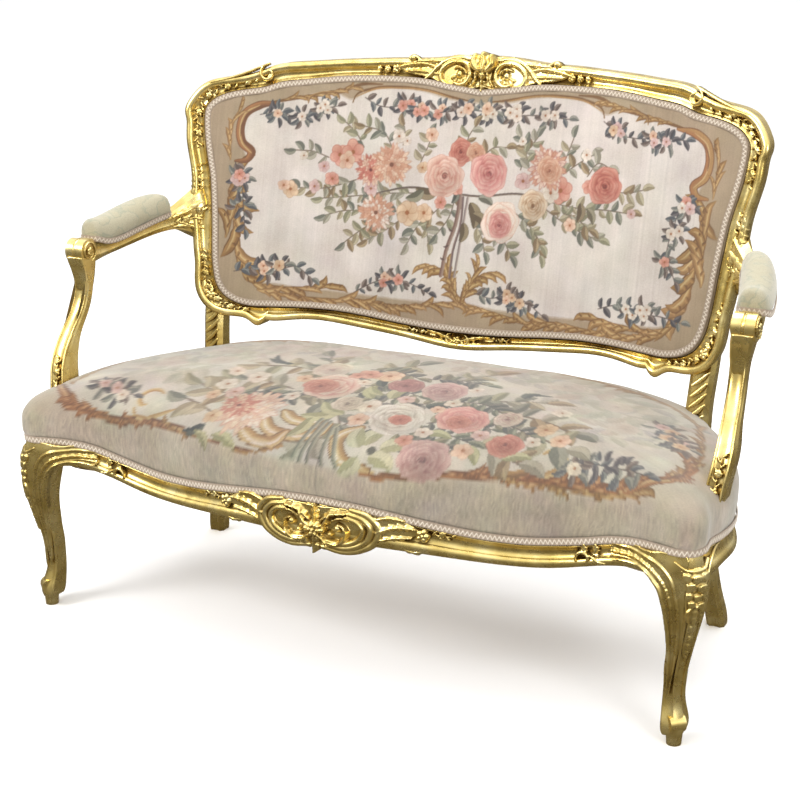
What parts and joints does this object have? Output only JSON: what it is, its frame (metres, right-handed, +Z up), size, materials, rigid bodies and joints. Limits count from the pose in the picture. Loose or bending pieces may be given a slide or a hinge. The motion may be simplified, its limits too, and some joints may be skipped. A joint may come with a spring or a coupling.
{
  "type": "cabriole sofa",
  "caption": "Two-seat cabriole settee with a carved giltwood frame, curved upholstered back, padded arms and a domed seat covered in floral tapestry.",
  "frame": {"origin": "centre of the footprint, at the floor", "axes": "+X to the right as the settee is seen from the front, +Y from the front to the back, +Z up"},
  "size_m": [1.3404, 0.7152, 1.0033],
  "materials": {
    "giltwood": "water-gilded gold leaf over red bole, rubbed",
    "seasoned_wood": "planed, unfinished",
    "tapestry": "woven wool tapestry with a floral design",
    "braid": "gold gimp braid",
    "webbing": "jute",
    "stuffing": "horsehair",
    "lining": "plain linen",
    "screw_steel": "slotted wood screws"
  },
  "bodies": {
    "root": {"back_bottom_rail": "giltwood", "back_front_cover": "tapestry", "back_gimp": "braid", "back_outside_cover": "tapestry", "back_outside_gimp": "braid", "back_stuffing": "stuffing", "back_webbing_level": "webbing", "back_webbing_upright": "webbing", "corner_block_screws": "screw_steel", "crest_rail": "giltwood", "front_rail": "giltwood", "left_arm": "giltwood", "left_arm_gimp": "braid", "left_arm_pad_cover": "tapestry", "left_arm_pad_stuffing": "stuffing", "left_arm_support": "giltwood", "left_front_corner_block": "seasoned_wood", "left_front_leg": "giltwood", "left_rear_corner_block": "seasoned_wood", "left_rear_post": "giltwood", "left_side_rail": "giltwood", "rear_rail": "seasoned_wood", "right_arm": "giltwood", "right_arm_gimp": "braid", "right_arm_pad_cover": "tapestry", "right_arm_pad_stuffing": "stuffing", "right_arm_support": "giltwood", "right_front_corner_block": "seasoned_wood", "right_front_leg": "giltwood", "right_rear_corner_block": "seasoned_wood", "right_rear_post": "giltwood", "right_side_rail": "giltwood", "seat_cloth_under": "lining", "seat_cover": "tapestry", "seat_cross_bar": "seasoned_wood", "seat_gimp": "braid", "seat_hessian": "lining", "seat_stuffing": "stuffing", "seat_webbing_cross": "webbing", "seat_webbing_long": "webbing", "tenon_pegs": "seasoned_wood"}
  },
  "joints": []
}
